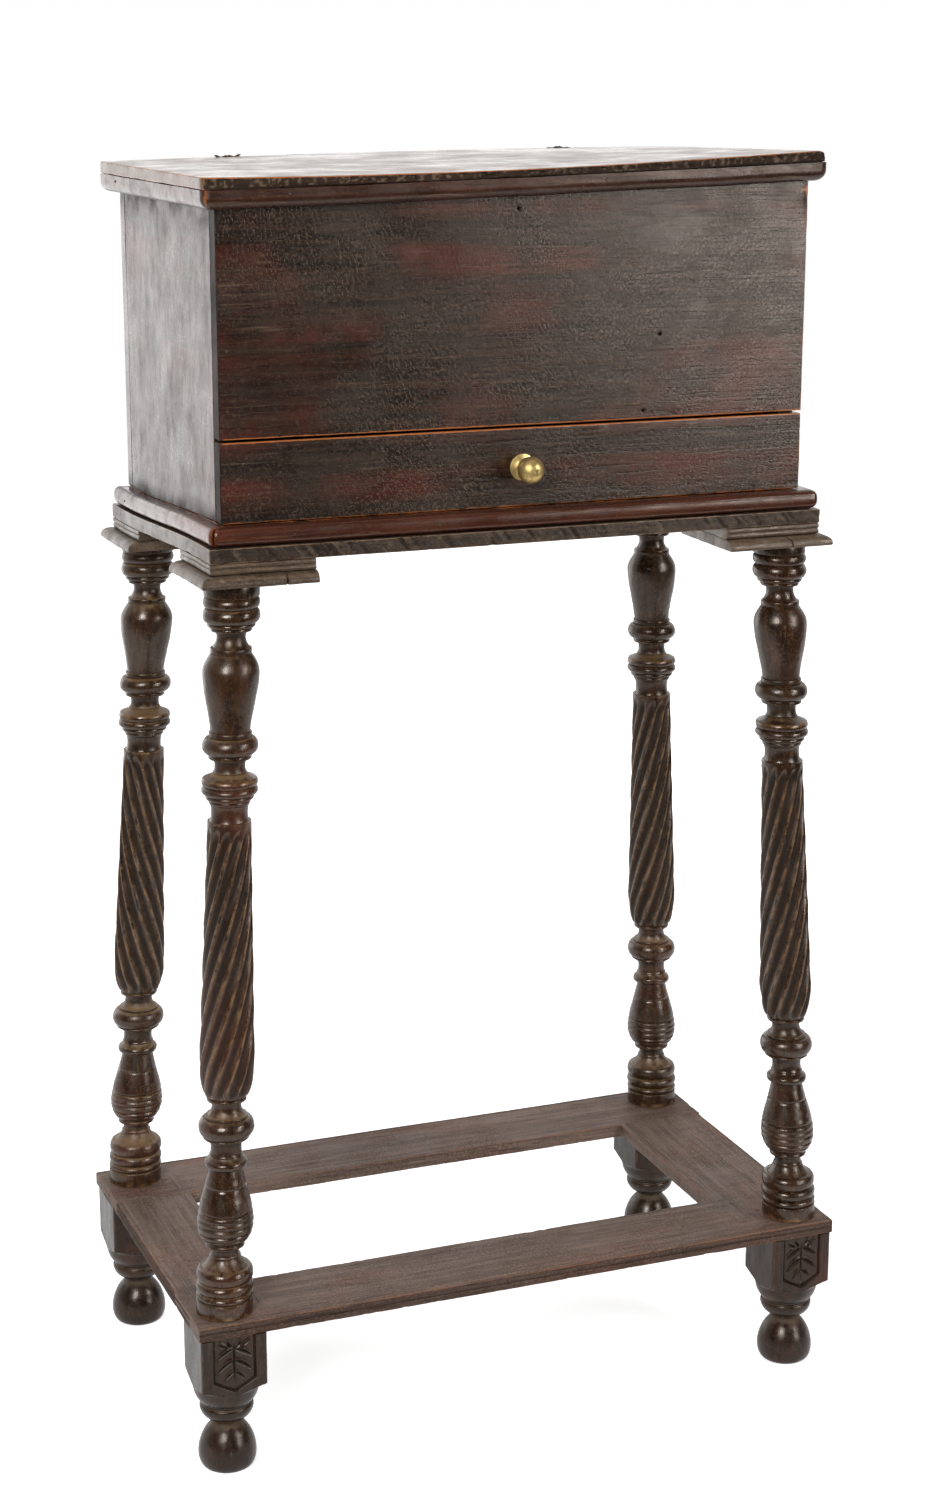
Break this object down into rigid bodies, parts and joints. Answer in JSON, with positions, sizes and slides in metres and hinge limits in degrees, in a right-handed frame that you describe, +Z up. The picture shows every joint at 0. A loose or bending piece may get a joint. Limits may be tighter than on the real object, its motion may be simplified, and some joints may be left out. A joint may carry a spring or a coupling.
{
  "type": "candle box on stand",
  "caption": "Dark wooden lidded candle box with a drawer below, on a stand with splayed twist-turned legs, a flat stretcher and turned feet.",
  "frame": {"origin": "on the floor, under the middle of the stand", "axes": "+Z up, -Y to the front with the drawer, +X to the right"},
  "size_m": [0.489, 0.287, 0.8888],
  "materials": {
    "dark_wood": "dark stained wood under old crazed varnish, reddish where worn",
    "turned_wood": "dark waxed turnery, glossy on the swells, dusty in the grooves",
    "stretcher_wood": "dark wood, rubbed and matt",
    "plain_wood": "bare aged softwood",
    "aged_brass": "dull, handled brass",
    "iron_wire": "dark, lightly rusted iron"
  },
  "bodies": {
    "case": {"foot_front_left": "turned_wood", "foot_front_right": "turned_wood", "foot_back_left": "turned_wood", "foot_back_right": "turned_wood", "leg_front_left": "turned_wood", "leg_front_right": "turned_wood", "leg_back_left": "turned_wood", "leg_back_right": "turned_wood", "pad_lower_front_left": "dark_wood", "pad_lower_front_right": "dark_wood", "pad_lower_back_left": "dark_wood", "pad_lower_back_right": "dark_wood", "pad_upper_front_left": "dark_wood", "pad_upper_front_right": "dark_wood", "pad_upper_back_left": "dark_wood", "pad_upper_back_right": "dark_wood", "stretcher_front_rail": "stretcher_wood", "stretcher_back_rail": "stretcher_wood", "stretcher_left_rail": "stretcher_wood", "stretcher_right_rail": "stretcher_wood", "stretcher_peg_front_left": "stretcher_wood", "stretcher_peg_front_right": "stretcher_wood", "stretcher_peg_back_left": "stretcher_wood", "stretcher_peg_back_right": "stretcher_wood", "base_board": "dark_wood", "base_moulding_front": "dark_wood", "base_moulding_left": "dark_wood", "base_moulding_right": "dark_wood", "box_bottom_board": "dark_wood", "box_front_board": "dark_wood", "box_back_board": "dark_wood", "box_left_side": "dark_wood", "box_right_side": "dark_wood", "box_floor": "plain_wood", "hinge_left_lower_eye": "iron_wire", "hinge_right_lower_eye": "iron_wire"},
    "lid": {"lid_board": "dark_wood", "lid_moulding_front": "dark_wood", "lid_moulding_left": "dark_wood", "lid_moulding_right": "dark_wood", "hinge_left_upper_eye": "iron_wire", "hinge_right_upper_eye": "iron_wire"},
    "drawer": {"drawer_front": "dark_wood", "drawer_left_side": "plain_wood", "drawer_right_side": "plain_wood", "drawer_back": "plain_wood", "drawer_bottom": "plain_wood", "drawer_knob": "aged_brass", "knob_nut": "iron_wire"}
  },
  "joints": [
    {"name": "lid_hinge", "type": "hinge", "parent": "case", "child": "lid", "pos_m": [0, 0.1237, 0.87], "axis": [-1, 0, 0], "range_deg": [0, 105]},
    {"name": "drawer_slide", "type": "slide", "parent": "case", "child": "drawer", "axis": [0, -1, 0], "range_m": [0, 0.165]}
  ]
}
